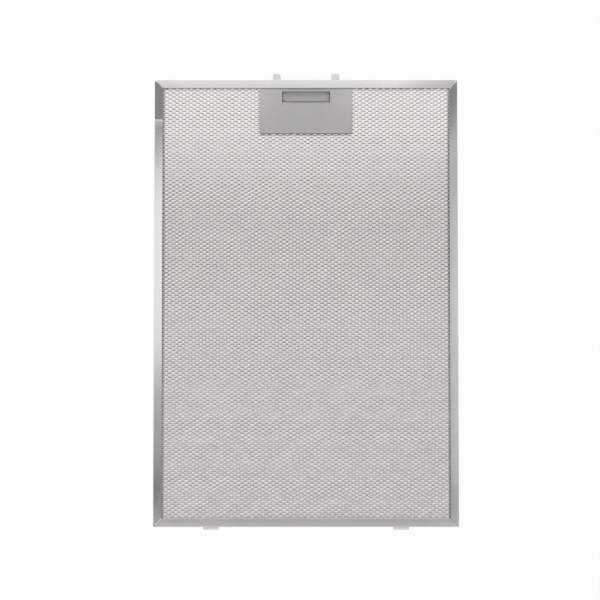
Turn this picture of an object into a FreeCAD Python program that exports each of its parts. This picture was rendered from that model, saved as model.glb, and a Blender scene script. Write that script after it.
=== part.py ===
"""Grease filter of a cooker hood, in millimetres.

The filter lies on its back: X runs across it, Y runs up the panel towards the latch bolts,
and Z runs from the rear face to the front. The origin is the middle of the rear face.
"""
import FreeCAD, Part
import math
import os
import Sketcher

# Driving dimensions
SIZES = {
    # Frame: one channel strip folded round the filter pack
    "panel_width": 258.0,
    "panel_height": 380.0,
    "panel_depth": 9.0,
    "frame_gauge": 0.5,
    "flange_width": 7.0,
    "lip_drop": 0.75,
    "lip_radius": 0.4,
    "bend_radius": 0.9,
    "corner_radius": 1.2,
    "mitre_gap": 0.2,
    "seam_from_top": 33.7,
    "seam_gap": 0.25,
    "tongue_reach": 16.0,
    "tongue_root": 8.0,
    "tongue_depth": 5.0,
    "tongue_gap": 0.1,
    "slot_cut_depth": 1.5,
    # Filter pack: two face meshes with crimped foil layers between them
    "pack_side_room": 1.0,
    "pack_gap": 0.05,
    "foil_gauge": 0.25,
    "face_mesh_depth": 1.0,
    "layer_gap": 0.06,
    "layer_count": 5,
    "ridge_count": 43,
    "wave_count": 16,
    "cross_wave_count": 24,
    "gap_length": 5.0,
    "gap_height": 2.6,
    "gap_margin": 6.0,
    "gap_start_count": 3,
    "gap_stagger_count": 3,
    "gap_stride_count": 7,
    "face_gap_columns": 6,
    "face_gap_rows": 8,
    "layer_gap_columns": 2,
    "layer_gap_rows": 3,
    "cross_gap_columns": 3,
    "cross_gap_rows": 2,
    # Latch housing: moulded handle plate with its finger window
    "plate_width": 79.0,
    "plate_height": 38.4,
    "plate_gauge": 1.5,
    "plate_gap": 0.6,
    "plate_corner": 1.5,
    "plate_edge": 0.5,
    "plate_sag": 0.7,
    "rim_gap": 0.1,
    "rim_width": 3.0,
    "shell_wall": 1.2,
    "shell_gap": 0.4,
    "roof_gap": 0.4,
    "window_width": 40.9,
    "window_height": 9.2,
    "window_from_top": 2.3,
    "scoop_length": 10.4,
    "scoop_depth": 2.0,
    "scoop_side_depth": 1.0,
    "scoop_draft_ratio": 0.8,
    "rib_gauge": 1.2,
    "post_diameter": 3.2,
    "post_from_side": 7.3,
    "post_from_end": 7.5,
    "post_pitch": 23.5,
    # Latch slider: floor, finger bar and the posts that carry the bolts
    "slider_floor": 1.4,
    "slider_gap": 0.35,
    "slider_heel": 19.0,
    "slider_head": 0.4,
    "bar_height": 6.4,
    "bar_rise": 2.15,
    "bar_hollow": 1.9,
    "bar_gap": 1.0,
    "bar_side_gap": 0.5,
    "step_rise": 1.7,
    "step_reach": 3.3,
    "heel_width": 12.0,
    "heel_gauge": 2.0,
    "bolt_post_width": 3.0,
    "bolt_post_height": 1.2,
    # Latch bolts: separate light pieces pressed on the slider's posts
    "bolt_width": 6.8,
    "bolt_depth": 3.6,
    "bolt_spacing": 50.2,
    "bolt_reach": 5.9,
    "bolt_root": 12.0,
    "bolt_corner": 2.2,
    "bolt_gap": 0.05,
    "bolt_slot_gap": 0.3,
    # Latch spring: bowed leaf
    "leaf_span": 48.0,
    "leaf_gauge": 0.4,
    "leaf_depth": 3.0,
    "leaf_gap": 0.1,
    # Latch cover: rear plate that closes the latch
    "cover_gauge": 1.0,
    "post_hole_gap": 0.1,
    "ledge_height": 0.9,
    "ledge_gap": 0.2,
    # Hook tabs through the bottom edge
    "tab_width": 13.2,
    "tab_reach": 2.5,
    "tab_gauge": 1.0,
    "tab_spacing": 160.6,
    "tab_corner": 0.8,
    "tab_base_width": 16.0,
    "tab_base_height": 5.6,
    "tab_base_gauge": 0.7,
    "tab_gap": 0.05,
    "tab_slot_gap": 0.1,
}

doc = FreeCAD.newDocument("grease_filter")
sheet = doc.addObject("Spreadsheet::Sheet", "sizes")
for row, (alias, number) in enumerate(SIZES.items(), start=1):
    sheet.set(f"A{row}", alias)
    sheet.set(f"B{row}", str(number))
    sheet.setAlias(f"B{row}", alias)
doc.recompute()


class Size:
    """A length that knows its value and the sheet expression that gives it."""

    def __init__(self, value, text):
        self.value = value
        self.text = text

    def join(self, other, sign, work):
        other = other if isinstance(other, Size) else Size(other, repr(other))
        return Size(work(self.value, other.value), f"({self.text} {sign} {other.text})")

    def __add__(self, other):
        return self.join(other, "+", lambda a, b: a + b)

    def __sub__(self, other):
        return self.join(other, "-", lambda a, b: a - b)

    def __mul__(self, other):
        return self.join(other, "*", lambda a, b: a * b)

    def __truediv__(self, other):
        return self.join(other, "/", lambda a, b: a / b)

    def __neg__(self):
        return Size(-self.value, f"(-{self.text})")


class Cells:
    """Gives each cell of the sheet as a Size."""

    def __getattr__(self, alias):
        return Size(sheet.get(alias), f"sizes.{alias}")


s = Cells()
zero = Size(0.0, "0")
parts = []


# Drawing helpers
def new_body(label):
    body = doc.addObject("PartDesign::Body", label)
    body.Label = label
    parts.append(body)
    return body


def origin_feature(body, role):
    return next(item for item in body.Origin.OriginFeatures if item.Role == role)


def new_sketch(body, role, name, lift=zero):
    """Sketch on one of the body's origin planes, lifted along the plane's normal."""
    drawing = body.newObject("Sketcher::SketchObject", name)
    drawing.AttachmentSupport = (origin_feature(body, role), [""])
    drawing.MapMode = "FlatFace"
    drawing.setExpression("AttachmentOffset.Base.z", lift.text)
    return drawing


def bind_distance(drawing, kind, axis, edge, end, size):
    """Tie one coordinate of a point to the sheet."""
    if size is zero:
        drawing.addConstraint(Sketcher.Constraint("PointOnObject", edge, end, axis))
        return
    row = drawing.addConstraint(Sketcher.Constraint(kind, -1, 1, edge, end, size.value))
    drawing.setExpression(f"Constraints[{row}]", size.text)


def bind_point(drawing, edge, end, point):
    bind_distance(drawing, "DistanceX", -2, edge, end, point[0])
    bind_distance(drawing, "DistanceY", -1, edge, end, point[1])


def at(point):
    return FreeCAD.Vector(point[0].value, point[1].value, 0)


def arc_between(start, stop, rise):
    """Arc from start to stop that bulges to the right of the way between them."""
    run = stop - start
    right = FreeCAD.Vector(run.y, -run.x, 0).normalize()
    radius = (run.Length ** 2 / 4 + rise ** 2) / (2 * rise)
    centre = (start + stop) / 2 + right * (rise - radius)
    first, last = (start, stop) if rise > 0 else (stop, start)
    angles = [math.atan2(p.y - centre.y, p.x - centre.x) for p in (first, last)]
    ring = Part.Circle(centre, FreeCAD.Vector(0, 0, 1), abs(radius))
    return Part.ArcOfCircle(ring, *angles)


def outline(drawing, points, arcs=None):
    """Closed outline through points; arcs gives the rise of each side that is an arc.

    A rise is measured at mid span, to the right of the direction of travel.
    """
    arcs = arcs or {}
    ends = []
    for number, start in enumerate(points):
        stop = points[(number + 1) % len(points)]
        if number not in arcs:
            edge = drawing.addGeometry(Part.LineSegment(at(start), at(stop)))
            ends.append((edge, 1, 2))
            continue
        rise = arcs[number]
        edge = drawing.addGeometry(arc_between(at(start), at(stop), rise.value))
        ends.append((edge, 1, 2) if rise.value > 0 else (edge, 2, 1))
    for number, (edge, first, last) in enumerate(ends):
        following, following_first, _ = ends[(number + 1) % len(ends)]
        drawing.addConstraint(
            Sketcher.Constraint("Coincident", edge, last, following, following_first))
        bind_point(drawing, edge, first, points[number])
        if number in arcs:
            span = points[(number + 1) % len(points)][0] - points[number][0]
            rise = arcs[number]
            radius = (span * span / 4 + rise * rise) / (rise * 2)
            row = drawing.addConstraint(
                Sketcher.Constraint("Radius", edge, abs(radius.value)))
            drawing.setExpression(f"Constraints[{row}]", f"abs({radius.text})")


def rectangle(drawing, left, right, bottom, top):
    outline(drawing, [(left, bottom), (right, bottom), (right, top), (left, top)])


def square(drawing, x, y, half):
    rectangle(drawing, x - half, x + half, y - half, y + half)


def circle(drawing, centre, diameter):
    ring = drawing.addGeometry(
        Part.Circle(at(centre), FreeCAD.Vector(0, 0, 1), diameter.value / 2))
    row = drawing.addConstraint(Sketcher.Constraint("Diameter", ring, diameter.value))
    drawing.setExpression(f"Constraints[{row}]", diameter.text)
    bind_point(drawing, ring, 3, centre)


# Feature helpers
def pad(body, drawing, name, length, reverse=False, both=False):
    feature = body.newObject("PartDesign::Pad", name)
    feature.Profile = drawing
    feature.setExpression("Length", length.text)
    feature.Reversed = reverse
    if both:
        feature.SideType = "Symmetric"
    return feature


def pocket(body, drawing, name, length=None, reverse=False):
    """Cut to a length, or through everything ahead of the sketch."""
    feature = body.newObject("PartDesign::Pocket", name)
    feature.Profile = drawing
    if length is None:
        feature.Type = "ThroughAll"
    else:
        feature.setExpression("Length", length.text)
    feature.Reversed = reverse
    return feature


def row_of(body, name, axis, length, count, original=None):
    """Linear pattern along an origin axis, alone or as a step of a grid."""
    feature = body.newObject("PartDesign::LinearPattern", name)
    if original is not None:
        feature.Originals = [original]
    feature.Direction = (origin_feature(body, axis), [""])
    feature.setExpression("Length", length.text)
    feature.setExpression("Occurrences", count.text)
    return feature


def mirror_of(body, name, plane):
    """Mirror step of a grid, across an origin plane."""
    feature = body.newObject("PartDesign::Mirrored", name)
    feature.MirrorPlane = (origin_feature(body, plane), [""])
    return feature


def combine(body, name, original, steps):
    feature = body.newObject("PartDesign::MultiTransform", name)
    feature.Originals = [original]
    feature.Transformations = steps
    body.Tip = feature
    return feature


def fillet(body, name, radius, wanted):
    """Round every edge of the body so far that the test picks out."""
    doc.recompute()
    base = body.Tip
    names = [f"Edge{number}" for number, edge in enumerate(base.Shape.Edges, start=1)
             if wanted(edge)]
    feature = body.newObject("PartDesign::Fillet", name)
    feature.Base = (base, names)
    feature.setExpression("Radius", radius.text)
    return feature


def near(value, wanted):
    tolerance = 1e-4
    return abs(value - wanted) < tolerance


def upright_at(edge, x, y):
    """True for an edge along Z that stands at the given distances from the axes."""
    corners = [vertex.Point for vertex in edge.Vertexes]
    upright = len(corners) == 2 and near(abs(edge.tangentAt(edge.FirstParameter).z), 1)
    return upright and all(near(abs(p.x), x.value) and near(abs(p.y), y.value) for p in corners)


def ring_at(edge, x, y, z):
    """True for a straight edge of a level rectangle round the Z axis."""
    corners = [vertex.Point for vertex in edge.Vertexes]
    if len(corners) != 2 or not all(near(p.z, z.value) for p in corners):
        return False
    start, stop = corners
    along_y = near(abs(start.x), x.value) and near(start.x, stop.x)
    along_x = near(abs(start.y), y.value) and near(start.y, stop.y)
    return along_x or along_y


# Places shared by the pieces
half_width = s.panel_width / 2
half_height = s.panel_height / 2
web_x = half_width - s.frame_gauge
web_y = half_height - s.frame_gauge
flange_x = half_width - s.flange_width
flange_y = half_height - s.flange_width
pack_low = s.frame_gauge + s.lip_drop + s.pack_gap
pack_high = s.panel_depth - s.frame_gauge - s.lip_drop - s.pack_gap
seam_y = half_height - s.seam_from_top

plate_side = s.plate_width / 2
plate_top = flange_y - s.plate_gap
plate_base = plate_top - s.plate_height
rim_low = pack_high + s.rim_gap
face_z = rim_low + s.plate_gauge
shell_side = plate_side - s.rim_width
shell_base = plate_base + s.rim_width
shell_low = pack_low
window_side = s.window_width / 2
window_top = plate_top - s.window_from_top
window_low = window_top - s.window_height
post_side = plate_side - s.post_from_side
post_low = plate_base + s.post_from_end

cover_high = pack_low - s.pack_gap
cover_low = cover_high - s.cover_gauge
slider_low = cover_high + s.slider_gap
floor_high = slider_low + s.slider_floor
bolt_high = slider_low + s.bolt_depth
roof_low = bolt_high + s.roof_gap
slider_top = plate_top + s.slider_head
slider_base = slider_top - s.slider_heel
bolt_x = s.bolt_spacing / 2
bolt_base = slider_top - s.bolt_root
bolt_middle = slider_top - s.bolt_root / 2
bolt_tip = half_height + s.bolt_reach
spring_z = (slider_low + bolt_high) / 2
spring_low = shell_base + s.shell_wall


# Frame: the channel swept round the panel, its flanges mitred at the corners
def make_frame():
    body = new_body("frame")
    path = new_sketch(body, "XY_Plane", "strip_path")
    rectangle(path, -half_width, half_width, -half_height, half_height)
    section = new_sketch(body, "XZ_Plane", "strip_section")
    lip_low = s.frame_gauge + s.lip_drop
    lip_high = s.panel_depth - lip_low
    lip_x = flange_x + s.frame_gauge
    outline(section, [
        (-half_width, zero),
        (-flange_x, zero),
        (-flange_x, lip_low),
        (-lip_x, lip_low),
        (-lip_x, s.frame_gauge),
        (-web_x, s.frame_gauge),
        (-web_x, s.panel_depth - s.frame_gauge),
        (-lip_x, s.panel_depth - s.frame_gauge),
        (-lip_x, lip_high),
        (-flange_x, lip_high),
        (-flange_x, s.panel_depth),
        (-half_width, s.panel_depth),
    ])
    strip = body.newObject("PartDesign::AdditivePipe", "strip")
    strip.Profile = section
    strip.Spine = path
    strip.Transition = "Right corner"

    inside_corner = s.corner_radius - s.frame_gauge
    fillet(body, "outer_corners", s.corner_radius,
           lambda edge: upright_at(edge, half_width, half_height))
    fillet(body, "inner_corners", inside_corner, lambda edge: upright_at(edge, web_x, web_y))
    fillet(body, "outer_bends", s.bend_radius,
           lambda edge: ring_at(edge, half_width, half_height, zero)
           or ring_at(edge, half_width, half_height, s.panel_depth))
    fillet(body, "lip_bends", s.lip_radius,
           lambda edge: ring_at(edge, flange_x, flange_y, zero)
           or ring_at(edge, flange_x, flange_y, s.panel_depth))

    # Open mitres between the flanges
    half_slit = s.mitre_gap / (2 * math.sqrt(2))
    slit_x = half_width - s.bend_radius
    slit_y = half_height - s.bend_radius
    start_x = flange_x - s.frame_gauge
    start_y = flange_y - s.frame_gauge
    mitre = new_sketch(body, "XY_Plane", "mitre_line")
    outline(mitre, [
        (start_x + half_slit, start_y - half_slit),
        (slit_x + half_slit, slit_y - half_slit),
        (slit_x - half_slit, slit_y + half_slit),
        (start_x - half_slit, start_y + half_slit),
    ])
    slit = pocket(body, mitre, "mitre", reverse=True)
    combine(body, "mitres", slit, [mirror_of(body, "across", "YZ_Plane"),
                                   mirror_of(body, "along", "XZ_Plane")])

    # Butt joint on the left side, with the tongue of its upper end behind it
    joint = new_sketch(body, "XY_Plane", "joint_line")
    rectangle(joint, -half_width - s.frame_gauge, -flange_x + s.frame_gauge,
              seam_y - s.seam_gap / 2, seam_y + s.seam_gap / 2)
    pocket(body, joint, "joint", reverse=True)
    tongue = new_sketch(body, "XY_Plane", "tongue_outline",
                        lift=(s.panel_depth - s.tongue_depth) / 2)
    seam_high = seam_y + s.seam_gap / 2
    tongue_x = -web_x + s.tongue_gap
    outline(tongue, [
        (-web_x, seam_y + s.tongue_root),
        (-web_x, seam_high),
        (tongue_x, seam_high),
        (tongue_x, seam_y - s.tongue_reach),
        (tongue_x + s.frame_gauge, seam_y - s.tongue_reach),
        (tongue_x + s.frame_gauge, seam_y + s.tongue_root),
    ])
    pad(body, tongue, "tongue", s.tongue_depth)

    # Slots for the latch bolts in the top web and for the hook tabs in the bottom web
    slots = new_sketch(body, "XZ_Plane", "bolt_slots", lift=-half_height - s.frame_gauge)
    slot_half = s.bolt_width / 2 + s.bolt_slot_gap
    for side in (-1, 1):
        rectangle(slots, bolt_x * side - slot_half, bolt_x * side + slot_half,
                  slider_low - s.bolt_slot_gap, bolt_high + s.bolt_slot_gap)
    pocket(body, slots, "bolt_slot_cuts", s.slot_cut_depth, reverse=True)
    tab_slots = new_sketch(body, "XZ_Plane", "tab_slots", lift=half_height + s.frame_gauge)
    tab_half = s.tab_width / 2 + s.tab_slot_gap
    tab_rise = s.tab_gauge / 2 + s.tab_slot_gap
    for side in (-1, 1):
        middle = s.tab_spacing / 2 * side
        rectangle(tab_slots, middle - tab_half, middle + tab_half,
                  s.panel_depth / 2 - tab_rise, s.panel_depth / 2 + tab_rise)
    pocket(body, tab_slots, "tab_slot_cuts", s.slot_cut_depth)


# Filter pack: expanded sheets folded into ridges, notched round the latch
def make_mesh(label, low, depth, ridges, across, columns, rows):
    """One layer of the pack; its ridges run along Y, or along X where across is set."""
    body = new_body(label)
    width = (web_x - s.pack_side_room) * 2
    height = (web_y - s.pack_side_room) * 2
    run, length = (height, width) if across else (width, height)
    plane, axis = ("YZ_Plane", "Y_Axis") if across else ("XZ_Plane", "X_Axis")
    pitch = run / ridges
    left = -run / 2
    crest = low + depth
    fold = new_sketch(body, plane, "fold")
    outline(fold, [
        (left, low),
        (left + pitch / 2, crest - s.foil_gauge),
        (left + pitch, low),
        (left + pitch, low + s.foil_gauge),
        (left + pitch / 2, crest),
        (left, low + s.foil_gauge),
    ])
    ridge = pad(body, fold, "ridge", length, both=True)
    body.Tip = row_of(body, "ridges", axis, run - pitch, ridges, ridge)

    notch = new_sketch(body, "XY_Plane", "latch_notch")
    side = shell_side + s.shell_gap
    rectangle(notch, -side, side, shell_base - s.shell_gap, half_height)
    pocket(body, notch, "latch_cut", reverse=True)

    # Two staggered diamonds on ridge crests, repeated over the sheet
    other = length / 2 - s.flange_width - s.gap_margin
    step = other * 2 / rows
    gaps = new_sketch(body, "XY_Plane", "diamonds")
    for half in (0, 1):
        crest_place = left + pitch * (s.gap_start_count + s.gap_stagger_count * half + 0.5)
        row_place = -other + step / 2 * (half + 0.5)
        x, y = (row_place, crest_place) if across else (crest_place, row_place)
        outline(gaps, [
            (x - s.gap_length / 2, y),
            (x, y - s.gap_height / 2),
            (x + s.gap_length / 2, y),
            (x, y + s.gap_height / 2),
        ])
    diamond = pocket(body, gaps, "diamond", reverse=True)
    other_axis = "X_Axis" if across else "Y_Axis"
    combine(body, "diamond_grid", diamond, [
        row_of(body, "diamonds_across", axis, pitch * s.gap_stride_count * (columns - 1), columns),
        row_of(body, "diamonds_along", other_axis, step * (rows - 1), rows),
    ])


def make_pack():
    for label, low in (("front_mesh", pack_high - s.face_mesh_depth), ("back_mesh", pack_low)):
        make_mesh(label, low, s.face_mesh_depth, s.ridge_count, False,
                  s.face_gap_columns, s.face_gap_rows)
    inside = pack_high - pack_low - s.face_mesh_depth * 2
    step = (inside - s.layer_gap) / s.layer_count
    for number in range(1, int(s.layer_count.value) + 1):
        low = pack_high - s.face_mesh_depth - step * number
        if number % 2:
            make_mesh(f"filter_layer_{number}", low, step - s.layer_gap, s.cross_wave_count, True,
                      s.cross_gap_columns, s.cross_gap_rows)
        else:
            make_mesh(f"filter_layer_{number}", low, step - s.layer_gap, s.wave_count, False,
                      s.layer_gap_columns, s.layer_gap_rows)


# Latch housing: handle plate, shell round the pack's notch and tongue under the flange
def make_housing():
    body = new_body("latch_housing")
    face = new_sketch(body, "XY_Plane", "plate_outline", lift=rim_low)
    outline(face, [(-plate_side, plate_base), (plate_side, plate_base),
                   (plate_side, plate_top), (-plate_side, plate_top)], {2: -s.plate_sag})
    pad(body, face, "plate", s.plate_gauge)
    fillet(body, "plate_corners", s.plate_corner,
           lambda edge: upright_at(edge, plate_side, plate_base))
    fillet(body, "plate_edges", s.plate_edge,
           lambda edge: near(edge.BoundBox.ZMin, face_z.value))

    shell = new_sketch(body, "XY_Plane", "shell_outline", lift=shell_low)
    inner_side = shell_side - s.shell_wall
    outline(shell, [
        (-shell_side, plate_top),
        (-shell_side, shell_base),
        (shell_side, shell_base),
        (shell_side, plate_top),
        (inner_side, plate_top),
        (inner_side, spring_low),
        (-inner_side, spring_low),
        (-inner_side, plate_top),
    ])
    pad(body, shell, "shell", rim_low - shell_low)

    # Surround of the finger window, thick below it to carry the scoop
    surround_side = window_side + s.rib_gauge
    surround = new_sketch(body, "XY_Plane", "surround_outline", lift=roof_low)
    rectangle(surround, -surround_side, surround_side,
              window_low - s.scoop_length - s.rib_gauge, window_top + s.rib_gauge)
    pad(body, surround, "surround", rim_low - roof_low)

    # Tongue that holds the latch under the frame's flanges, open below for the bolts
    tongue = new_sketch(body, "XZ_Plane", "tongue_section", lift=-window_top)
    tongue_high = pack_high - s.pack_gap
    outline(tongue, [
        (-shell_side, shell_low),
        (-inner_side, shell_low),
        (-inner_side, roof_low),
        (inner_side, roof_low),
        (inner_side, shell_low),
        (shell_side, shell_low),
        (shell_side, tongue_high),
        (-shell_side, tongue_high),
    ])
    pad(body, tongue, "tongue", web_y - s.rim_gap - window_top, reverse=True)

    window = new_sketch(body, "XY_Plane", "window_outline")
    rectangle(window, -window_side, window_side, window_low, window_top)
    pocket(body, window, "window", reverse=True)

    # Scoop that leads a finger up into the window, with drafted sides
    lip = new_sketch(body, "XZ_Plane", "scoop_lip", lift=-window_low)
    tail = new_sketch(body, "XZ_Plane", "scoop_tail", lift=-window_low + s.scoop_length)
    scoop_high = face_z + s.scoop_depth
    hollow = s.scoop_depth - s.scoop_side_depth
    high_side = window_side + s.scoop_depth * s.scoop_draft_ratio
    for drawing, rise in ((lip, -s.scoop_side_depth), (tail, hollow)):
        low_side = window_side + rise * s.scoop_draft_ratio
        outline(drawing, [(-low_side, face_z + rise), (low_side, face_z + rise),
                          (high_side, scoop_high), (-high_side, scoop_high)], {0: hollow})
    scoop = body.newObject("PartDesign::SubtractiveLoft", "scoop")
    scoop.Profile = lip
    scoop.Sections = [tail]

    # Rails beside the slider and hold-down ribs over its bolts
    rail_in = bolt_x + s.bolt_width / 2 + s.slider_gap
    ribs = new_sketch(body, "XY_Plane", "rail_outline", lift=slider_low)
    holds = new_sketch(body, "XY_Plane", "hold_outline", lift=roof_low)
    for side in (-1, 1):
        edges = sorted((rail_in * side, (rail_in + s.rib_gauge) * side), key=lambda x: x.value)
        rectangle(ribs, edges[0], edges[1], spring_low, window_top)
        rectangle(holds, bolt_x * side - s.rib_gauge / 2, bolt_x * side + s.rib_gauge / 2,
                  slider_base, window_top)
    pad(body, ribs, "rails", rim_low - slider_low)
    pad(body, holds, "hold_downs", rim_low - roof_low)

    # Posts for the cover
    posts = new_sketch(body, "XY_Plane", "post_rings", lift=cover_low + s.slider_gap)
    for x in (-post_side, post_side):
        for y in (post_low, post_low + s.post_pitch):
            circle(posts, (x, y), s.post_diameter)
    pad(body, posts, "posts", rim_low - cover_low - s.slider_gap)


# Latch slider: floor with the finger bar and its step, the spring's heel and square bolt posts
def make_slider():
    body = new_body("latch_slider")
    floor_side = bolt_x + s.bolt_width / 2
    plan = new_sketch(body, "XY_Plane", "floor_outline", lift=slider_low)
    rectangle(plan, -floor_side, floor_side, slider_base, slider_top)
    pad(body, plan, "floor", s.slider_floor)

    bar = new_sketch(body, "XY_Plane", "bar_outline", lift=floor_high)
    bar_side = window_side - s.bar_side_gap
    bar_low = window_low + s.bar_gap
    bar_high = bar_low + s.bar_height
    outline(bar, [(bar_side, bar_low), (bar_side, bar_high),
                  (-bar_side, bar_high), (-bar_side, bar_low)], {1: -s.bar_hollow})
    pad(body, bar, "bar", s.bar_rise)
    step = new_sketch(body, "XY_Plane", "step_outline", lift=floor_high)
    rectangle(step, -bar_side, bar_side, bar_low, bar_high + s.step_reach)
    pad(body, step, "finger_step", s.step_rise)
    heel = new_sketch(body, "XY_Plane", "heel_outline", lift=floor_high)
    rectangle(heel, -s.heel_width / 2, s.heel_width / 2, slider_base, slider_base + s.heel_gauge)
    pad(body, heel, "heel", bolt_high - floor_high)
    posts = new_sketch(body, "XY_Plane", "bolt_post_outline", lift=floor_high)
    for side in (-1, 1):
        square(posts, bolt_x * side, bolt_middle, s.bolt_post_width / 2)
    pad(body, posts, "bolt_posts", s.bolt_post_height)


# Latch bolts: shank on the slider's post and full-depth nose through the frame's slot
def make_bolt(label, side):
    body = new_body(label)
    inner = bolt_x - s.bolt_width / 2
    outer = bolt_x + s.bolt_width / 2
    left, right = (inner, outer) if side > 0 else (-outer, -inner)
    seat = floor_high + s.bolt_gap
    shank = new_sketch(body, "XY_Plane", "shank_outline", lift=seat)
    rectangle(shank, left, right, bolt_base, bolt_tip)
    pad(body, shank, "shank", bolt_high - seat)
    nose = new_sketch(body, "XY_Plane", "nose_outline", lift=slider_low)
    rectangle(nose, left, right, slider_top + s.bolt_gap, bolt_tip)
    pad(body, nose, "nose", seat - slider_low)
    fillet(body, "tip_corners", s.bolt_corner,
           lambda edge: upright_at(edge, outer, bolt_tip) or upright_at(edge, inner, bolt_tip))
    socket = new_sketch(body, "XY_Plane", "socket_outline", lift=seat)
    square(socket, bolt_x * side, bolt_middle, s.bolt_post_width / 2 + s.bolt_gap)
    pocket(body, socket, "socket", s.bolt_post_height, reverse=True)


# Latch spring: bowed leaf with its feet on the housing and its crown under the slider's heel
def make_spring():
    body = new_body("latch_spring")
    bow = new_sketch(body, "XY_Plane", "leaf_outline", lift=spring_z - s.leaf_depth / 2)
    half_span = s.leaf_span / 2
    foot = spring_low + s.leaf_gap
    rise = slider_base - s.leaf_gap - foot
    outline(bow, [
        (half_span, foot),
        (-half_span, foot),
        (-half_span + s.leaf_gauge, foot),
        (half_span - s.leaf_gauge, foot),
    ], {0: rise, 2: s.leaf_gauge - rise})
    pad(body, bow, "leaf", s.leaf_depth)


# Latch cover: rear plate with holes for the posts and ledges inside the shell
def make_cover():
    body = new_body("latch_cover")
    plan = new_sketch(body, "XY_Plane", "cover_outline", lift=cover_low)
    rectangle(plan, -plate_side, plate_side, plate_base, plate_top)
    pad(body, plan, "plate", s.cover_gauge)
    fillet(body, "corners", s.plate_corner,
           lambda edge: upright_at(edge, plate_side, plate_base))
    ledges = new_sketch(body, "XY_Plane", "ledge_outline", lift=cover_high)
    ledge_out = shell_side - s.shell_wall - s.ledge_gap
    ledge_in = ledge_out - s.rib_gauge
    for left, right in ((-ledge_out, -ledge_in), (ledge_in, ledge_out)):
        rectangle(ledges, left, right, spring_low + s.ledge_gap, window_top)
    pad(body, ledges, "ledges", s.ledge_height)
    holes = new_sketch(body, "XY_Plane", "post_holes")
    for x in (-post_side, post_side):
        for y in (post_low, post_low + s.post_pitch):
            circle(holes, (x, y), s.post_diameter + s.post_hole_gap * 2)
    pocket(body, holes, "holes", reverse=True)


# Hook tabs: pressed tongues held behind the bottom web by their bases
def make_tab(label, side):
    body = new_body(label)
    middle = s.tab_spacing / 2 * side
    base_y = -web_y + s.tab_gap
    base = new_sketch(body, "XZ_Plane", "base_outline", lift=-base_y)
    rectangle(base, middle - s.tab_base_width / 2, middle + s.tab_base_width / 2,
              (s.panel_depth - s.tab_base_height) / 2, (s.panel_depth + s.tab_base_height) / 2)
    pad(body, base, "base", s.tab_base_gauge, reverse=True)
    tongue = new_sketch(body, "XY_Plane", "tongue_outline",
                        lift=(s.panel_depth - s.tab_gauge) / 2)
    rectangle(tongue, middle - s.tab_width / 2, middle + s.tab_width / 2,
              -half_height - s.tab_reach, base_y)
    pad(body, tongue, "tongue", s.tab_gauge)
    tip_y = half_height + s.tab_reach
    inner = (s.tab_spacing - s.tab_width) / 2
    outer = (s.tab_spacing + s.tab_width) / 2
    fillet(body, "tongue_corners", s.tab_corner,
           lambda edge: upright_at(edge, inner, tip_y) or upright_at(edge, outer, tip_y))


make_frame()
make_pack()
make_housing()
make_slider()
make_bolt("latch_bolt_left", -1)
make_bolt("latch_bolt_right", 1)
make_spring()
make_cover()
make_tab("hook_tab_left", -1)
make_tab("hook_tab_right", 1)
doc.recompute()

# Every feature must have worked before anything is written
for item in doc.Objects:
    if "Invalid" in item.State or "Error" in item.State:
        raise RuntimeError(f"{item.Label} failed: {item.State}")
for body in parts:
    if body.Shape.isNull() or not body.Shape.isValid() or len(body.Shape.Solids) != 1:
        raise RuntimeError(f"{body.Label} is not one valid solid")
os.makedirs("parts", exist_ok=True)
for body in parts:
    body.Shape.exportStep(f"parts/{body.Label}.step")
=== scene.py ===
import math

import bmesh
import bpy
import numpy as np
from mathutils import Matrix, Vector


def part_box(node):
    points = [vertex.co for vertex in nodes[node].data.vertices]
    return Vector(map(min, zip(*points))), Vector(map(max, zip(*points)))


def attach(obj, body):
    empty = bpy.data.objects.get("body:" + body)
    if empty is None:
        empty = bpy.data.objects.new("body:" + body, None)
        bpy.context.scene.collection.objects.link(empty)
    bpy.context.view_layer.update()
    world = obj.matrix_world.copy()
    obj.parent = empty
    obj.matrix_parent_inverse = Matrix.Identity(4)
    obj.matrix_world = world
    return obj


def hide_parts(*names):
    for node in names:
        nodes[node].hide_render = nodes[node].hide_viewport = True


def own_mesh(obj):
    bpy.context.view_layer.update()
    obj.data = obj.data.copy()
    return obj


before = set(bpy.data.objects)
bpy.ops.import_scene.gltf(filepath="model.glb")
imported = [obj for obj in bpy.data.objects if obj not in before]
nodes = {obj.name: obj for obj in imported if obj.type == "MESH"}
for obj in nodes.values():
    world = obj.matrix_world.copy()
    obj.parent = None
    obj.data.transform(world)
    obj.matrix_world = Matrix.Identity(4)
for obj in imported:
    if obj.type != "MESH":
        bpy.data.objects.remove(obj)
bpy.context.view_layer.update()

MM = 0.001
WHITE = (1, 1, 1, 1)


# Shader maths written as expressions
class Value:
    """A socket in a finish; arithmetic on it adds Math nodes."""

    def __init__(self, finish, socket):
        self.finish = finish
        self.socket = socket

    def work(self, operation, first, second):
        return self.finish.node("Math", {"operation": operation}, {0: first, 1: second})

    def __add__(self, other):
        return self.work("ADD", self, other)

    __radd__ = __add__

    def __sub__(self, other):
        return self.work("SUBTRACT", self, other)

    def __rsub__(self, other):
        return self.work("SUBTRACT", other, self)

    def __mul__(self, other):
        return self.work("MULTIPLY", self, other)

    __rmul__ = __mul__

    def __abs__(self):
        return self.finish.node("Math", {"operation": "ABSOLUTE"}, {0: self})


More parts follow.
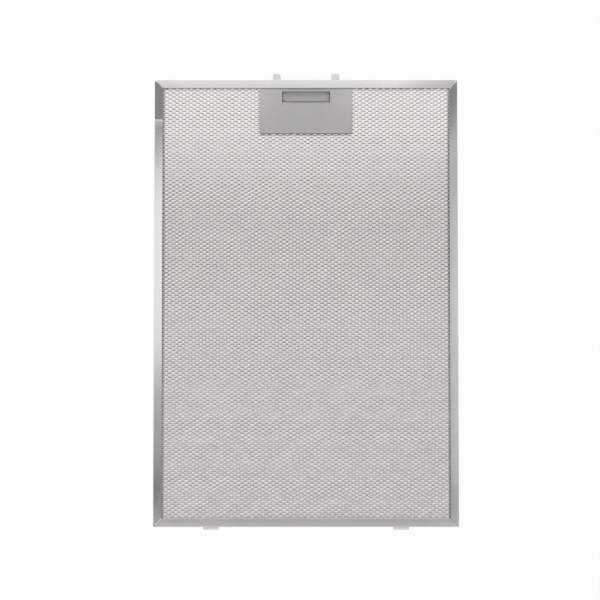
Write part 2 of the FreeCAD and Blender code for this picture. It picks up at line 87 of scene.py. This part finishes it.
class Nodes:
    """The nodes of a material or of the world."""

    def __init__(self, owner):
        owner.use_nodes = True
        self.tree = owner.node_tree

    def find(self, kind):
        return next(n for n in self.tree.nodes if n.type == kind)

    def node(self, kind, settings, inputs, output=0):
        """Adds a node: its settings first, then the values or links of its sockets."""
        made = self.tree.nodes.new("ShaderNode" + kind)
        for name, setting in settings.items():
            if name == "stops":
                self.set_stops(made.color_ramp, setting)
            else:
                setattr(made, name, setting)
        for name, given in inputs.items():
            if isinstance(given, Value):
                self.tree.links.new(given.socket, made.inputs[name])
            else:
                made.inputs[name].default_value = given
        return Value(self, made.outputs[output])

    @staticmethod
    def set_stops(ramp, stops):
        while len(ramp.elements) < len(stops):
            ramp.elements.new(1.0)
        for element, (place, level) in zip(ramp.elements, stops):
            element.position = place
            element.color = (level, level, level, 1)

    def across_and_along(self, where):
        """First two coordinates of a place or a direction."""
        return [self.node("SeparateXYZ", {}, {"Vector": where}, axis) for axis in "XY"]

    def between(self, low, high, share, start=0.0, stop=1.0):
        """Number from low to high as the share goes from start to stop."""
        return self.node("MapRange", {}, {"Value": share, "From Min": start, "From Max": stop,
                                          "To Min": low, "To Max": high})


class Finish(Nodes):
    """One material, with a Principled shader and the nodes that feed it."""

    def __init__(self, name, **constants):
        self.material = bpy.data.materials.new(name)
        super().__init__(self.material)
        self.shader = self.find("BSDF_PRINCIPLED")
        for socket, number in constants.items():
            self.shader.inputs[socket.replace("_", " ")].default_value = number

    def feed(self, **links):
        for socket, given in links.items():
            self.tree.links.new(given.socket, self.shader.inputs[socket.replace("_", " ")])

    def where(self):
        """Object coordinates, in metres."""
        return self.node("TexCoord", {}, {}, "Object")

    def place(self, stretch=(1, 1, 1)):
        """Object coordinates in millimetres, divided by the stretch."""
        scale = tuple(1 / (MM * part) for part in stretch)
        return self.node("VectorMath", {"operation": "MULTIPLY"}, {0: self.where(), 1: scale})

    def noise(self, size, detail=2, stretch=(1, 1, 1), rough=0.5):
        """Noise with features of a size in millimetres, from 0 to 1."""
        return self.node("TexNoise", {}, {"Vector": self.place(stretch), "Scale": 1 / size,
                                          "Detail": detail, "Roughness": rough})

    def fade(self, distance, start, stop):
        """Number from 0 to 1 as a distance goes from start to stop, in millimetres."""
        return self.between(0, 1, distance, start * MM, stop * MM)

    def levels(self, share, *stops):
        """Ramp through stops of (place, level)."""
        return self.node("ValToRGB", {"stops": stops}, {"Fac": share})

    def mix(self, share, first, second):
        """Colour from the first to the second as the share goes from 0 to 1."""
        return self.node("Mix", {"data_type": "RGBA"}, {0: share, 6: first, 7: second}, 2)

    def relief(self, height, depth_mm):
        """Bump of a depth in millimetres for heights from 0 to 1."""
        return self.node("Bump", {}, {"Height": height, "Strength": 1.0,
                                      "Distance": depth_mm * MM})


def paint(red, green, blue):
    """Linear colour from a colour as seen on screen, each channel up to 255."""
    def linear(level):
        level = level / 255
        return level / 12.92 if level < 0.04045 else ((level + 0.055) / 1.055) ** 2.4
    return (linear(red), linear(green), linear(blue), 1)


# Finishes: where painted light and painted shade change the colours on the filter, in millimetres
FOIL_PAINTED_LIGHT = (70, 150)
LIP_SHADE = (0.7, 2.4)
PLATE_SHEEN_SIDES = (12, 36)
PLATE_SHEEN_HEAD = (145, 176)
# Stretch of the rolled lines along the strip
LINE_STRETCH = 400


def strip_aluminium():
    """Rolled strip: fine lines along each side of the frame and faint clouds."""
    finish = Finish("strip_aluminium", Metallic=1.0)
    x, y = finish.across_and_along(finish.where())
    inset_x = HALF_WIDTH * MM - abs(x)
    inset_y = HALF_HEIGHT * MM - abs(y)
    upright = finish.node("Math", {"operation": "LESS_THAN"}, {0: inset_x, 1: inset_y})
    lines_up = finish.noise(0.22, detail=3, stretch=(1, LINE_STRETCH, 1), rough=0.65)
    lines_across = finish.noise(0.22, detail=3, stretch=(LINE_STRETCH, 1, 1), rough=0.65)
    lines = finish.node("Mix", {"data_type": "FLOAT"},
                        {0: upright, 2: lines_across, 3: lines_up})
    cloud = finish.noise(24, detail=3)
    tone = finish.between(0.25, 0.75, lines) * 0.5 + cloud * 0.5
    finish.feed(Base_Color=finish.mix(tone, paint(222, 222, 222), paint(240, 239, 237)),
                Roughness=finish.between(0.08, 0.15, cloud * 0.6 + lines * 0.4),
                Normal=finish.relief(lines, depth_mm=0.006))
    return finish.material


def mesh_foil(name, dark, light, painted_light_head, rough, metal):
    """Bright expanded foil with a warm cast, with painted light making it paler at its head and
    painted shade making it darker beside the side lips.
    """
    finish = Finish(name, Metallic=metal)
    cloud = finish.noise(30, detail=2)
    grain = finish.noise(0.8, detail=3)
    tone = finish.levels(cloud * 0.12 + grain * 0.88, (0.3, 0), (0.7, 1))
    colour = finish.mix(tone, paint(*dark), paint(*light))
    x, y = finish.across_and_along(finish.where())
    # Painted light: the foil turns paler up towards its head
    colour = finish.mix(finish.fade(y, *FOIL_PAINTED_LIGHT), colour, paint(*painted_light_head))
    inset = HALF_WIDTH * MM - abs(x)
    clear = finish.fade(inset, *(FLANGE + room for room in LIP_SHADE))
    # Painted shade: the foil darkens just inside the frame's side lips, where the lips shade it
    colour = finish.mix(clear, paint(165, 162, 159), colour)
    finish.feed(Base_Color=colour,
                Roughness=finish.between(rough - 0.07, rough + 0.09, grain),
                Normal=finish.relief(finish.noise(0.5, detail=3), depth_mm=0.05))
    return finish.material


def moulded_plastic(name, dark, light, rough, corners=None):
    """Moulding with a fine eroded grain and faint flow clouds, with a painted sheen making its top
    corners paler if asked.
    """
    finish = Finish(name)
    cloud = finish.noise(14, detail=3)
    grain = finish.noise(0.16, detail=2)
    scuff = finish.noise(1.2, detail=4, stretch=(6, 1, 1))
    colour = finish.mix(cloud * 0.7 + grain * 0.3, paint(*dark), paint(*light))
    if corners:
        x, y = finish.across_and_along(finish.where())
        # Painted sheen: the plate's top corners turn paler
        share = finish.fade(abs(x), *PLATE_SHEEN_SIDES) * finish.fade(y, *PLATE_SHEEN_HEAD)
        colour = finish.mix(share, colour, paint(*corners))
    finish.feed(Base_Color=colour,
                Roughness=finish.between(rough - 0.06, rough + 0.08, scuff * 0.5 + grain * 0.5),
                Normal=finish.relief(grain, depth_mm=0.012))
    return finish.material


def plated_steel(name, dark, light, rough):
    """Plated sheet with a fine spangle and drawn lines."""
    finish = Finish(name, Metallic=1.0)
    spangle = finish.node("TexVoronoi", {}, {"Vector": finish.place(), "Scale": 0.6},
                          "Distance")
    lines = finish.noise(0.2, detail=3, stretch=(1, 30, 1))
    tone = spangle * 0.5 + lines * 0.5
    finish.feed(Base_Color=finish.mix(tone, paint(*dark), paint(*light)),
                Roughness=finish.between(rough - 0.06, rough + 0.1, lines),
                Normal=finish.relief(lines, depth_mm=0.01))
    return finish.material


# Pieces: creases in degrees, the reach of a weld in millimetres
CREASE = 40
NO_CREASE = 180
WELD = 0.002


def box_of(node):
    """Lowest and highest corner of a node, in millimetres."""
    return [np.array(corner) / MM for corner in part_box(node)]


def make_piece(name, points, faces, finish, body, stands_for, crease):
    """Mesh object in the frame's place, from points in millimetres."""
    mesh = bpy.data.meshes.new(name)
    mesh.from_pydata((np.asarray(points) * MM).tolist(), [], [list(f) for f in faces])
    mesh.update()
    mesh.shade_smooth()
    mesh.set_sharp_from_angle(angle=math.radians(crease))
    mesh.materials.append(finish)
    piece = bpy.data.objects.new(name, mesh)
    bpy.context.scene.collection.objects.link(piece)
    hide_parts(stands_for)
    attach(piece, body)
    return piece


def tube_faces(count, size):
    """Faces of a tube through a count of rings, with that size of points in each, and its ends."""
    faces = []
    for number in range(count - 1):
        for place in range(size):
            following = (place + 1) % size
            faces.append((number * size + place, number * size + following,
                          (number + 1) * size + following, (number + 1) * size + place))
    faces.append(tuple(range(size))[::-1])
    faces.append(tuple(range((count - 1) * size, count * size)))
    return faces


def weld(mesh):
    """Joins points that fell together and turns all faces outward."""
    work = bmesh.new()
    work.from_mesh(mesh)
    bmesh.ops.remove_doubles(work, verts=work.verts, dist=WELD * MM)
    bmesh.ops.recalc_face_normals(work, faces=work.faces)
    work.to_mesh(mesh)
    work.free()


def dress(finish, *names):
    """Gives CAD nodes a finish."""
    for name in names:
        for slot in nodes[name].material_slots:
            slot.material = finish


# Frame: sizes of the folded strip, in millimetres
HALF_WIDTH, HALF_HEIGHT, DEPTH = box_of("frame")[1].tolist()
GAUGE = 0.5
FLANGE = 7.0
LIP_LOW = 1.25
LIP_BEND = 0.15
BEND = 0.22
CORNER = 1.2
SEAM = 156.3
SEAM_GAP = 0.25
BOLT_ROOM = 0.3
TAB_ROOM = 0.1
TAB_SHOULDER = 1.4
# Shares of the flange's width, and of a side's length, at which the strip has points
FLANGE_SHARES = (0.015, 0.25, 0.5, 0.75, 0.985)
START_SHARES = (0.0, 0.0008, 0.002, 0.005)
STOP_SHARES = (0.995, 0.998, 0.9992, 1.0)
SIDE_SHARES = np.concatenate([START_SHARES, np.linspace(0.02, 0.98, 49), STOP_SHARES])
# Turns of the sections round a corner, up to its mitre
CORNER_HALF = math.radians(22.5)
CORNER_MITRE = math.radians(45)
# Drops of the flange's outer and inner edge at a mitre, and their share just beside it
MITRE = (0.42, 0.28)
FLUSH = (0.42, 0.0)
MITRE_SHOULDER = 0.25
# Drops of the two edges at shares of each side's length, and rise of the flange between them
UPPER_LEFT = ((0, 0.02, 0.02), (0.5, 0.22, 0.22), (1, 0.27, 0.27))
TOP = ((0, 0.41, 0.0), (0.1, 0.445, 0.0), (0.8, 0.465, 0.0), (1, 0.31, 0.0))
RIGHT = ((0, 0.45, 0.45), (0.06, 0.4, 0.22), (0.1, 0.38, 0.04), (0.19, 0.38, 0.0),
         (0.28, 0.45, 0.0), (0.37, 0.475, 0.0), (0.46, 0.505, 0.0), (0.5, 0.52, 0.0),
         (0.59, 0.505, 0.0), (0.77, 0.48, 0.0), (0.86, 0.47, 0.0), (0.95, 0.4, 0.0),
         (1, 0.42, 0.0))
BOTTOM = ((0, 0.43, 0.0), (0.5, 0.455, 0.0), (1, 0.44, 0.0))
LOWER_LEFT = ((0, 0.4, 0.0), (0.026, 0.38, 0.0), (0.055, 0.3, 0.01), (0.1, 0.08, 0.02),
              (0.8, 0.1, 0.02), (0.995, 0.24, 0.03), (1, 0.21, 0.0))
SIDE_CROWN = 0.005
TOP_CROWN = 0.004
BOTTOM_CROWN = 0.006


def arc(inset, height, radius, first, last, count):
    """Points of a bend in the strip's section, between two angles in degrees."""
    return [(inset + radius * math.cos(turn), height + radius * math.sin(turn))
            for turn in np.radians(np.linspace(first, last, count))]


def strip_section(outer, inner, crown):
    """Outline of the strip as (inset, height) for the heights of its front flange's two edges."""
    lip = FLANGE - LIP_BEND
    points = [(FLANGE, DEPTH - LIP_LOW)]
    points += arc(lip, inner - LIP_BEND, LIP_BEND, 0, 90, 4)
    for share in FLANGE_SHARES:
        inset = lip + (BEND - FLANGE + LIP_BEND) * share
        points.append((inset, inner + (outer - inner) * share + crown * 4 * share * (1 - share)))
    points += arc(BEND, outer - BEND, BEND, 90, 180, 6)
    points += arc(BEND, BEND, BEND, 180, 270, 6)
    points += arc(lip, LIP_BEND, LIP_BEND, 270, 360, 4)
    inside = FLANGE - GAUGE
    points += [(FLANGE, LIP_LOW), (inside, LIP_LOW), (inside, GAUGE), (GAUGE, GAUGE),
               (GAUGE, outer - GAUGE), (inside, inner - GAUGE), (inside, DEPTH - LIP_LOW)]
    return np.array(points)


def lean_between(stops, crown):
    """Flange heights and crown at a share of the length, from (share, outer, inner drop)."""
    shares, outer, inner = np.array(stops).T

    def lean(share):
        return (DEPTH - np.interp(share, shares, outer), DEPTH - np.interp(share, shares, inner),
                crown)
    return lean


def strip_rings(start, along, inward, length, lean, first=MITRE, last=MITRE, cut=None):
    """Sections of one side of the frame; lean gives its flange at a share of the length.

    First and last are how far the flange's two edges drop at a mitre, or None at a plain end.
    Cut is the stretch of the side that is there, where it has a plain end.
    """
    start, along, inward = (np.array(v, float) for v in (start, along, inward))
    low, high = cut or (0.0, length)
    rings = []

    def ring(section, travel, inset):
        flat = start + np.outer(travel, along) + np.outer(inset, inward)
        rings.append(np.column_stack([flat, section[:, 1]]))

    def corner_ring(drop, turn, at_end):
        section = strip_section(DEPTH - drop[0], DEPTH - drop[1], 0.0)
        room = np.maximum(CORNER - section[:, 0], 0)
        bend = np.maximum(CORNER, section[:, 0])
        travel = bend - room * math.sin(turn)
        ring(section, length - travel if at_end else travel, bend - room * math.cos(turn))

    if first:
        corner_ring(first, CORNER_MITRE, at_end=False)
        corner_ring(first, CORNER_HALF, at_end=False)
    for share in SIDE_SHARES:
        outer, inner, crown = lean(share)
        drop = None
        if share in START_SHARES[:2]:
            drop = first
        elif share in STOP_SHARES[2:]:
            drop = last
        if drop:
            depth = 1.0 if share in (0.0, 1.0) else MITRE_SHOULDER
            outer += (DEPTH - drop[0] - outer) * depth
            inner += (DEPTH - drop[1] - inner) * depth
            crown *= 1 - depth
        section = strip_section(outer, inner, crown)
        inset = section[:, 0]
        corner = np.maximum(CORNER, inset)
        begin = corner if first else np.full(len(inset), low)
        end = length - corner if last else np.full(len(inset), high)
        ring(section, begin + (end - begin) * share, inset)
    if last:
        corner_ring(last, CORNER_HALF, at_end=True)
    return rings


def make_frame(finish):
    """The strip from its joint on the left side, round the filter and back to the joint."""
    width = HALF_WIDTH * 2
    height = HALF_HEIGHT * 2
    seam = HALF_HEIGHT + SEAM
    rings = strip_rings((-HALF_WIDTH, -HALF_HEIGHT), (0, 1), (1, 0), height,
                        lean_between(UPPER_LEFT, SIDE_CROWN),
                        first=None, cut=(seam + SEAM_GAP / 2, height))
    rings += strip_rings((-HALF_WIDTH, HALF_HEIGHT), (1, 0), (0, -1), width,
                         lean_between(TOP, TOP_CROWN))
    rings += strip_rings((HALF_WIDTH, HALF_HEIGHT), (0, -1), (-1, 0), height,
                         lean_between(RIGHT, SIDE_CROWN), last=FLUSH)
    rings += strip_rings((HALF_WIDTH, -HALF_HEIGHT), (-1, 0), (0, 1), width,
                         lean_between(BOTTOM, BOTTOM_CROWN), first=FLUSH)
    rings += strip_rings((-HALF_WIDTH, -HALF_HEIGHT), (0, 1), (1, 0), height,
                         lean_between(LOWER_LEFT, SIDE_CROWN),
                         last=None, cut=(0, seam - SEAM_GAP / 2))
    piece = make_piece("frame_folded_strip", np.concatenate(rings),
                       tube_faces(len(rings), len(rings[0])), finish, "panel",
                       "frame", CREASE)
    weld(piece.data)
    cut_slots(piece, [
        slot_round("latch_bolt_left", 1, BOLT_ROOM, BOLT_ROOM),
        slot_round("latch_bolt_right", 1, BOLT_ROOM, BOLT_ROOM),
        slot_round("hook_tab_left", -1, TAB_ROOM - TAB_SHOULDER, TAB_ROOM),
        slot_round("hook_tab_right", -1, TAB_ROOM - TAB_SHOULDER, TAB_ROOM)])


def slot_round(node, end, side_room, room):
    """Box through the frame's top or bottom wall, round the piece that passes through it."""
    low, high = box_of(node)
    low += (-side_room, 0, -room)
    high += (side_room, 0, room)
    low[1], high[1] = sorted((end * (HALF_HEIGHT + GAUGE), end * (HALF_HEIGHT - 2 * GAUGE)))
    return low, high


def cut_slots(piece, slots):
    """Cuts boxes, given by their corners in millimetres, out of a piece."""
    points = []
    faces = []
    for number, corners in enumerate(slots):
        points += [(corners[i][0], corners[j][1], corners[k][2])
                   for i in (0, 1) for j in (0, 1) for k in (0, 1)]
        faces += [tuple(8 * number + place for place in face) for face in (
            (0, 1, 3, 2), (4, 6, 7, 5), (0, 4, 5, 1), (2, 3, 7, 6), (0, 2, 6, 4), (1, 5, 7, 3))]
    mesh = bpy.data.meshes.new("slots")
    mesh.from_pydata((np.array(points) * MM).tolist(), [], faces)
    cutter = bpy.data.objects.new("slots", mesh)
    bpy.context.scene.collection.objects.link(cutter)
    cut = piece.modifiers.new("slots", "BOOLEAN")
    cut.object = cutter
    cut.operation = "DIFFERENCE"
    cut.solver = "EXACT"
    piece.data = bpy.data.meshes.new_from_object(
        piece.evaluated_get(bpy.context.evaluated_depsgraph_get()))
    piece.modifiers.clear()
    bpy.data.objects.remove(cutter)


# Expanded foil: slit and drawn into diamonds, one ribbon between each two rows of bonds
MESH_PITCH_X = 5.87
MESH_PITCH_Y = 3.5
RIBBON_STEPS = 8
BOND = 0.12
TWIST_POWER = 5
# Height on the sheet, ribbon width, and its tilt in degrees at the lower and at the upper bonds
FACE_SHEET = ((-188, 1.55, 9, -1), (-70, 1.5, 11, -3), (40, 1.08, 28, -12), (70, 1.0, 31, -13),
              (110, 1.12, 29, -3), (150, 1.42, 23, 9), (188, 1.52, 18, 13))
INNER_SHEET = ((-188, 1.3, 8, 8), (-80, 1.3, 8, 8), (20, 0.7, 8, 8), (90, 0.7, 8, 8),
               (150, 1.3, 8, 8), (188, 1.3, 8, 8))
# Chance tilt at each bond
FLUTTER = math.radians(2)
chance = np.random.default_rng(11)
# Drift of the ribbons across and up a sheet as (length, offset, share), and their buckles
DRIFT = (((4.7, 0, 0.6), (31, 0, 1.6)), ((5.3, 5, 0.4), (43, 7, 1.2)))
BUCKLE_LENGTH = 3.9
BUCKLE_OFFSET = 11
PHASE_OFFSETS = (40, 23)
# Ribbons pressed flat by the frame's lip: distance from the lip, and share of the rise left
LIP_ROOM = (0.4, 1.8)
LIP_PRESS = (0.15, 1.0)
# Notch clear of the latch housing's shell
SHELL_ROOM = 2.4
shell_low, shell_high = box_of("latch_housing")
NOTCH_SIDE = shell_high[0] - SHELL_ROOM
NOTCH_BASE = shell_low[1] + SHELL_ROOM


def uneven(points, length, shift):
    """Smooth unevenness from -1 to 1 over a length in millimetres."""
    x = points[:, 0] / length + shift
    y = points[:, 1] / length - shift
    waves = np.sin(x + 0.6 * np.sin(0.73 * y)) + np.sin(1.31 * y + 0.8 * np.sin(0.57 * x + 1))
    return (waves + np.sin(0.83 * x - 1.09 * y + 2)) / 3


def make_expanded_mesh(node, finish, slot, sheet, lean, phase, bow):
    """One sheet of the pack, inside its node's box.

    Each ribbon climbs from a bond with the ribbon below to a bond with the ribbon above, and
    twists on its way; lean is the side that it faces.
    """
    low, high = box_of(node)
    shift = PHASE_OFFSETS[0] * phase[0] + PHASE_OFFSETS[1] * phase[1]

    # Rows of ribbons, and how far each point along them has climbed
    periods = int((high[0] - low[0]) / MESH_PITCH_X) + 2
    rows = int((high[1] - low[1]) / MESH_PITCH_Y * 2) + 4
    steps = periods * RIBBON_STEPS + 1
    travel = np.arange(steps) / RIBBON_STEPS
    row = np.arange(rows)
    cycle = np.mod(travel[None, :] + 0.5 * (row[:, None] % 2), 1.0)
    climb = np.clip((1 - np.abs(1 - 2 * cycle) - BOND) / (1 - 2 * BOND), 0, 1)
    climb = climb * climb * (3 - 2 * climb)
    x = low[0] - MESH_PITCH_X * (1 - phase[0]) + travel * MESH_PITCH_X
    x = np.broadcast_to(x, climb.shape)
    base = low[1] - MESH_PITCH_Y * (1 - phase[1]) + row[:, None] * MESH_PITCH_Y / 2

    # Width and twist of the ribbons
    place, *sizes = np.array(sheet).T
    width, first, last = (np.interp(base, place, size) for size in sizes)
    first, last = np.radians(first), np.radians(last)
    y = base + climb * (MESH_PITCH_Y / 2 - width * np.cos(last))
    draws = chance.uniform(-1, 1, (rows, 2 * periods + 2))
    stop = (2 * travel).astype(int)
    share = 2 * travel - stop
    flutter = draws[:, stop] * (1 - share) + draws[:, stop + 1] * share
    twist = last + (first - last) * (1 - climb) ** TWIST_POWER + FLUTTER * flutter
    inset = np.minimum(HALF_WIDTH - np.abs(x), HALF_HEIGHT - np.abs(y)) - FLANGE
    press = np.interp(inset, LIP_ROOM, LIP_PRESS) * lean

    # Lower and upper edge of each ribbon, then the sheet's unevenness
    start_rise, stop_rise = (width * np.sin(turn) / 2 for turn in (first, last))
    z = (climb * (start_rise + stop_rise) - stop_rise) * press
    rise = width * np.sin(twist) / 2 * press
    lower = np.stack([x, y, z + rise], axis=-1)
    upper = np.stack([x, y + width * np.cos(twist), z - rise], axis=-1)
    points = np.stack([lower, upper], axis=2).reshape(-1, 3)
    drift = [sum(part * uneven(points, length, shift + offset) for length, offset, part in waves)
             for waves in DRIFT]
    points[:, :2] += bow * np.column_stack(drift)
    room = (high[2] - low[2]) / 2 - np.max(np.abs(start_rise) + np.abs(stop_rise)
                                           + width * FLUTTER / 2)
    middle = (low[2] + high[2]) / 2
    points[:, 2] += middle + room * uneven(points, BUCKLE_LENGTH, shift + BUCKLE_OFFSET)

    # Faces inside the box and outside the latch's notch
    index = np.arange(rows * steps * 2).reshape(rows, steps, 2)
    faces = np.stack([index[:, :-1, 0], index[:, 1:, 0], index[:, 1:, 1], index[:, :-1, 1]],
                     axis=-1).reshape(-1, 4)
    inside = (points[:, 0] > low[0]) & (points[:, 0] < high[0])
    inside &= (points[:, 1] > low[1]) & (points[:, 1] < high[1])
    inside &= (np.abs(points[:, 0]) > NOTCH_SIDE) | (points[:, 1] < NOTCH_BASE)
    faces = faces[inside[faces].all(axis=1)]
    kept, faces = np.unique(faces, return_inverse=True)
    make_piece(f"{node}_strands", points[kept], faces.reshape(-1, 4), finish, "panel",
               node, NO_CREASE)


# Leaf spring: bowed strip that flattens as the slider comes down on it
LEAF_GAUGE = 0.4
LEAF_SECTIONS = 49


def make_leaf(finish):
    """Strip with four edges along an arc, from end to end of its node."""
    low, high = box_of("latch_spring")
    half = (high[0] - low[0]) / 2
    rise = high[1] - low[1]
    radius = (half ** 2 + rise ** 2) / (2 * rise)
    reach = math.asin(half / radius)
    points = []
    for turn in np.linspace(-1, 1, LEAF_SECTIONS):
        for size, level in ((radius, low[2]), (radius, high[2]),
                            (radius - LEAF_GAUGE, high[2]), (radius - LEAF_GAUGE, low[2])):
            points.append((size * math.sin(turn * reach),
                           high[1] - radius + size * math.cos(turn * reach), level))
    piece = make_piece("latch_leaf", points, tube_faces(LEAF_SECTIONS, 4), finish, "panel",
                       "latch_spring", CREASE)
    weld(piece.data)
    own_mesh(piece)


# Studio: sizes in metres, and the tent's brightness, where 1 is white
CAMERA_REACH = 2.3
CAMERA_TILT = math.radians(4.4)
CAMERA_ANGLE = math.radians(12.615)
CAMERA_AIM = Vector((-0.00514, 0.0017, 0.009))
FLOOR_REACH = 6
FLOOR_DROP = 0.0003
FLOOR_GLOW = 0.95
TENT = 1.15
TENT_FOOT = 0.75
TENT_SIDE = 0.45
TENT_HOLE = 0.21
FOOT_LIMITS = (-0.5, 0.1)
SIDE_LIMITS = (0.25, 0.8)
HOLE_WAY = Vector((0, 0.06, 1)).normalized()
HOLE_LIMITS = (math.cos(0.26), math.cos(0.16))


def make_camera():
    """Camera above the filter, its foot a little nearer."""
    lens = bpy.data.cameras.new("camera")
    lens.sensor_fit = "HORIZONTAL"
    lens.angle = CAMERA_ANGLE
    camera = bpy.data.objects.new("camera", lens)
    way = Vector((0, -math.sin(CAMERA_TILT), math.cos(CAMERA_TILT)))
    camera.location = CAMERA_AIM + CAMERA_REACH * way
    camera.rotation_euler = (CAMERA_TILT, 0, 0)
    bpy.context.scene.collection.objects.link(camera)
    bpy.context.scene.camera = camera


def make_floor():
    """White floor that keeps the filter's shadow."""
    mesh = bpy.data.meshes.new("floor")
    mesh.from_pydata([(x * FLOOR_REACH, y * FLOOR_REACH, 0)
                      for x, y in ((-1, -1), (1, -1), (1, 1), (-1, 1))], [], [(0, 1, 2, 3)])
    floor = bpy.data.objects.new("floor", mesh)
    floor.location.z = -FLOOR_DROP
    bpy.context.scene.collection.objects.link(floor)
    finish = Finish("floor_white", Base_Color=(0.86, 0.86, 0.86, 1), Roughness=0.9)
    seen = sum(finish.node("LightPath", {}, {}, ray)
               for ray in ("Is Camera Ray", "Is Glossy Ray", "Is Transmission Ray"))
    seen = finish.node("Math", {"operation": "MINIMUM"}, {0: seen, 1: 1})
    glow = finish.node("Emission", {}, {"Color": WHITE, "Strength": 1.0})
    lit = Value(finish, finish.shader.outputs[0])
    both = finish.node("MixShader", {}, {0: seen * FLOOR_GLOW, 1: lit, 2: glow})
    finish.tree.links.new(both.socket, finish.find("OUTPUT_MATERIAL").inputs["Surface"])
    mesh.materials.append(finish.material)


def make_world():
    """Pale tent, darker at its sides and foot and where the camera looks through it."""
    world = bpy.data.worlds.new("studio")
    bpy.context.scene.world = world
    tent = Nodes(world)
    way = tent.node("TexCoord", {}, {}, "Generated")
    facing = tent.node("VectorMath", {"operation": "DOT_PRODUCT"}, {0: way, 1: HOLE_WAY}, "Value")
    across, along = tent.across_and_along(way)
    end = tent.between(TENT_FOOT, TENT, along, *FOOT_LIMITS)
    cloth = tent.between(end, TENT_SIDE, abs(across), *SIDE_LIMITS)
    level = tent.between(cloth, TENT_HOLE, facing, *HOLE_LIMITS)
    background = tent.find("BACKGROUND")
    background.inputs["Color"].default_value = WHITE
    tent.tree.links.new(level.socket, background.inputs["Strength"])


def softbox(name, place, target, width, height, radiance):
    """Area lamp that shows the given radiance, hidden from the camera."""
    lamp = bpy.data.lights.new(name, "AREA")
    lamp.shape = "RECTANGLE"
    lamp.size = width
    lamp.size_y = height
    lamp.energy = radiance * math.pi * width * height
    box = bpy.data.objects.new(name, lamp)
    box.location = place
    box.rotation_euler = (Vector(target) - Vector(place)).to_track_quat("-Z", "Y").to_euler()
    box.visible_camera = False
    bpy.context.scene.collection.objects.link(box)


make_camera()

# The filter
# The head colours are painted light, paler at the top of each sheet
face_foil = mesh_foil("face_foil", dark=(204, 199, 196), light=(243, 239, 236),
                      painted_light_head=(231, 227, 224), rough=0.25, metal=1.0)
# Inner sheets: a more matt foil of the same aluminium, painted paler than the face foil as painted
# light that lifts the shade seen between the face ribbons
inner_foil = mesh_foil("inner_foil", dark=(236, 231, 228), light=(248, 244, 241),
                       painted_light_head=(250, 247, 245), rough=0.5, metal=0.4)
make_frame(strip_aluminium())
# Each sheet of the pack: the side that it faces, its shift in diamonds and its drift
face = (face_foil, "face_mesh", FACE_SHEET)
inner = (inner_foil, "filter_foil", INNER_SHEET)
for node, kind, lean, phase, bow in (
        ("front_mesh", face, 1, (0.0, 0.0), 0.14),
        ("filter_layer_1", inner, 1, (0.31, 0.2), 0.18),
        ("filter_layer_2", inner, -1, (0.62, 0.55), 0.15),
        ("filter_layer_5", inner, -1, (0.11, 0.35), 0.15),
        ("back_mesh", face, -1, (0.0, 0.0), 0.14)):
    make_expanded_mesh(node, *kind, lean, phase, bow)
dress(inner_foil, "filter_layer_3", "filter_layer_4")
make_leaf(plated_steel("spring_steel", dark=(150, 150, 150), light=(186, 186, 188), rough=0.3))
# The housing's paler top corners are a painted sheen
housing_grey = moulded_plastic("housing_grey", dark=(182, 181, 178), light=(192, 191, 188),
                               rough=0.5, corners=(203, 201, 199))
dress(housing_grey, "latch_housing", "latch_cover")
slider_grey = moulded_plastic("slider_grey", dark=(186, 185, 182), light=(196, 195, 192),
                              rough=0.5)
dress(slider_grey, "latch_slider")
bolt_white = moulded_plastic("bolt_white", dark=(237, 237, 237), light=(245, 245, 245),
                             rough=0.42)
dress(bolt_white, "latch_bolt_left", "latch_bolt_right")
tab_steel = plated_steel("tab_steel", dark=(240, 240, 240), light=(252, 252, 252), rough=0.55)
dress(tab_steel, "hook_tab_left", "hook_tab_right")

# Floor and light
make_floor()
make_world()
softbox("overhead", place=(-0.12, 0.258, 2.4), target=(-0.12, 0.258, 0),
        width=1.2, height=0.385, radiance=0.55)
softbox("overhead_wide", place=(-0.12, 0.17, 2.41), target=(-0.12, 0.17, 0),
        width=1.2, height=0.54, radiance=0.22)
softbox("back", place=(0, 1.35, 0.72), target=(0, 0.1, 0),
        width=2.2, height=0.5, radiance=0.15)

bpy.context.scene.view_settings.view_transform = "Standard"
